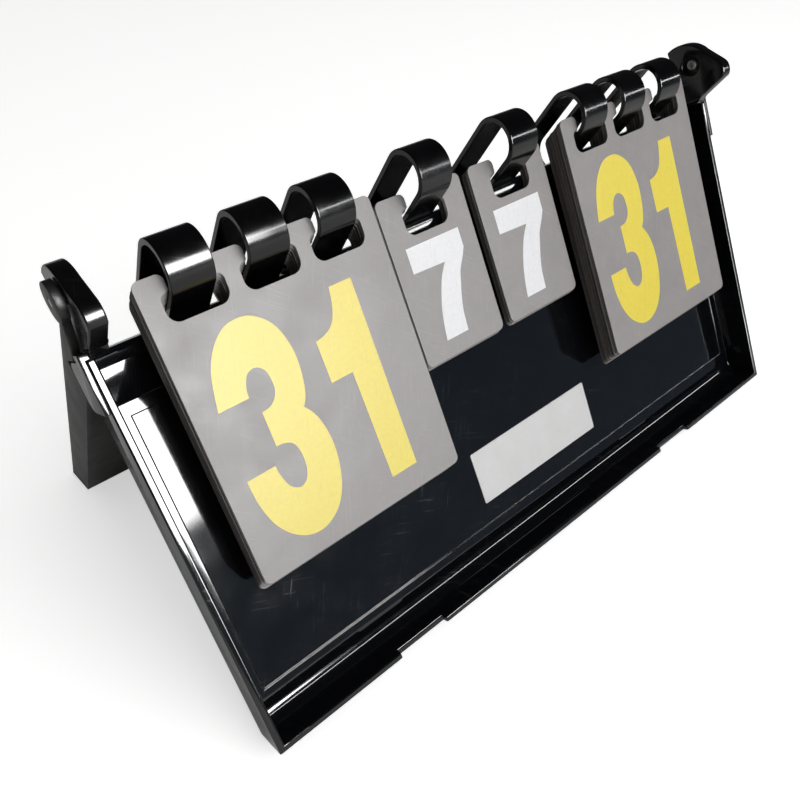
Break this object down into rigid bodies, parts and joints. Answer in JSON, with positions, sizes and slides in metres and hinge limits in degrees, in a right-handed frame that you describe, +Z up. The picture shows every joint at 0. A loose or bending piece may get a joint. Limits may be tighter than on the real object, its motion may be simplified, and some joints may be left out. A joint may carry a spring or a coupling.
{
  "type": "tabletop flip scoreboard",
  "caption": "Folding tabletop scoreboard: number cards hang on loops along a shallow tray, and its hinged cover swings over the top to prop it up.",
  "frame": {"origin": "on the table, under the middle of the bounding box of the open scoreboard", "axes": "+X along the length to the viewer's right, -Y towards the viewer, +Z up"},
  "size_m": [0.3816, 0.2168, 0.192],
  "materials": {
    "tray": "injection-moulded black ABS, glossy, scuffed",
    "ear": "moulded black ABS, glossy",
    "ring": "moulded black plastic strip, polished",
    "cover": "moulded dark grey ABS, fine satin texture",
    "card": "grey PVC sheet, matte, with screen-printed figures",
    "pack": "grey PVC sheets, matte, die-cut edges",
    "label": "blank white vinyl label",
    "screw": "zinc-plated pan-head screw"
  },
  "bodies": {
    "tray_body": {"tray": "tray", "ear_left": "ear", "ear_right": "ear", "pivot_screw_left": "screw", "pivot_screw_right": "screw", "ring_points_left_inner": "ring", "ring_points_left_middle": "ring", "ring_points_left_outer": "ring", "ring_sets_left": "ring", "ring_points_right_inner": "ring", "ring_points_right_middle": "ring", "ring_points_right_outer": "ring", "ring_sets_right": "ring", "pack_points_left": "pack", "pack_points_right": "pack", "pack_sets_left": "pack", "pack_sets_right": "pack", "label_plate": "label"},
    "cover_body": {"cover": "cover"},
    "points_card_left_body": {"card_points_left": "card"},
    "points_card_right_body": {"card_points_right": "card"},
    "sets_card_left_body": {"card_sets_left": "card"},
    "sets_card_right_body": {"card_sets_right": "card"}
  },
  "joints": [
    {"name": "cover_swing", "type": "hinge", "parent": "tray_body", "child": "cover_body", "pos_m": [0, -0.00732, 0.18173], "axis": [1, 0, 0], "range_deg": [0, 295]},
    {"name": "points_card_flip_left", "type": "hinge", "parent": "tray_body", "child": "points_card_left_body", "pos_m": [-0.113, -0.00604, 0.1784], "axis": [-1, 0, 0], "range_deg": [0, 230]},
    {"name": "sets_card_flip_left", "type": "hinge", "parent": "tray_body", "child": "sets_card_left_body", "pos_m": [-0.028, 0.00042, 0.17128], "axis": [-1, 0, 0], "range_deg": [0, 125]},
    {"name": "points_card_flip_right", "type": "hinge", "parent": "tray_body", "child": "points_card_right_body", "pos_m": [0.113, -0.00604, 0.1784], "axis": [-1, 0, 0], "range_deg": [0, 230]},
    {"name": "sets_card_flip_right", "type": "hinge", "parent": "tray_body", "child": "sets_card_right_body", "pos_m": [0.028, 0.00042, 0.17128], "axis": [-1, 0, 0], "range_deg": [0, 125]}
  ]
}
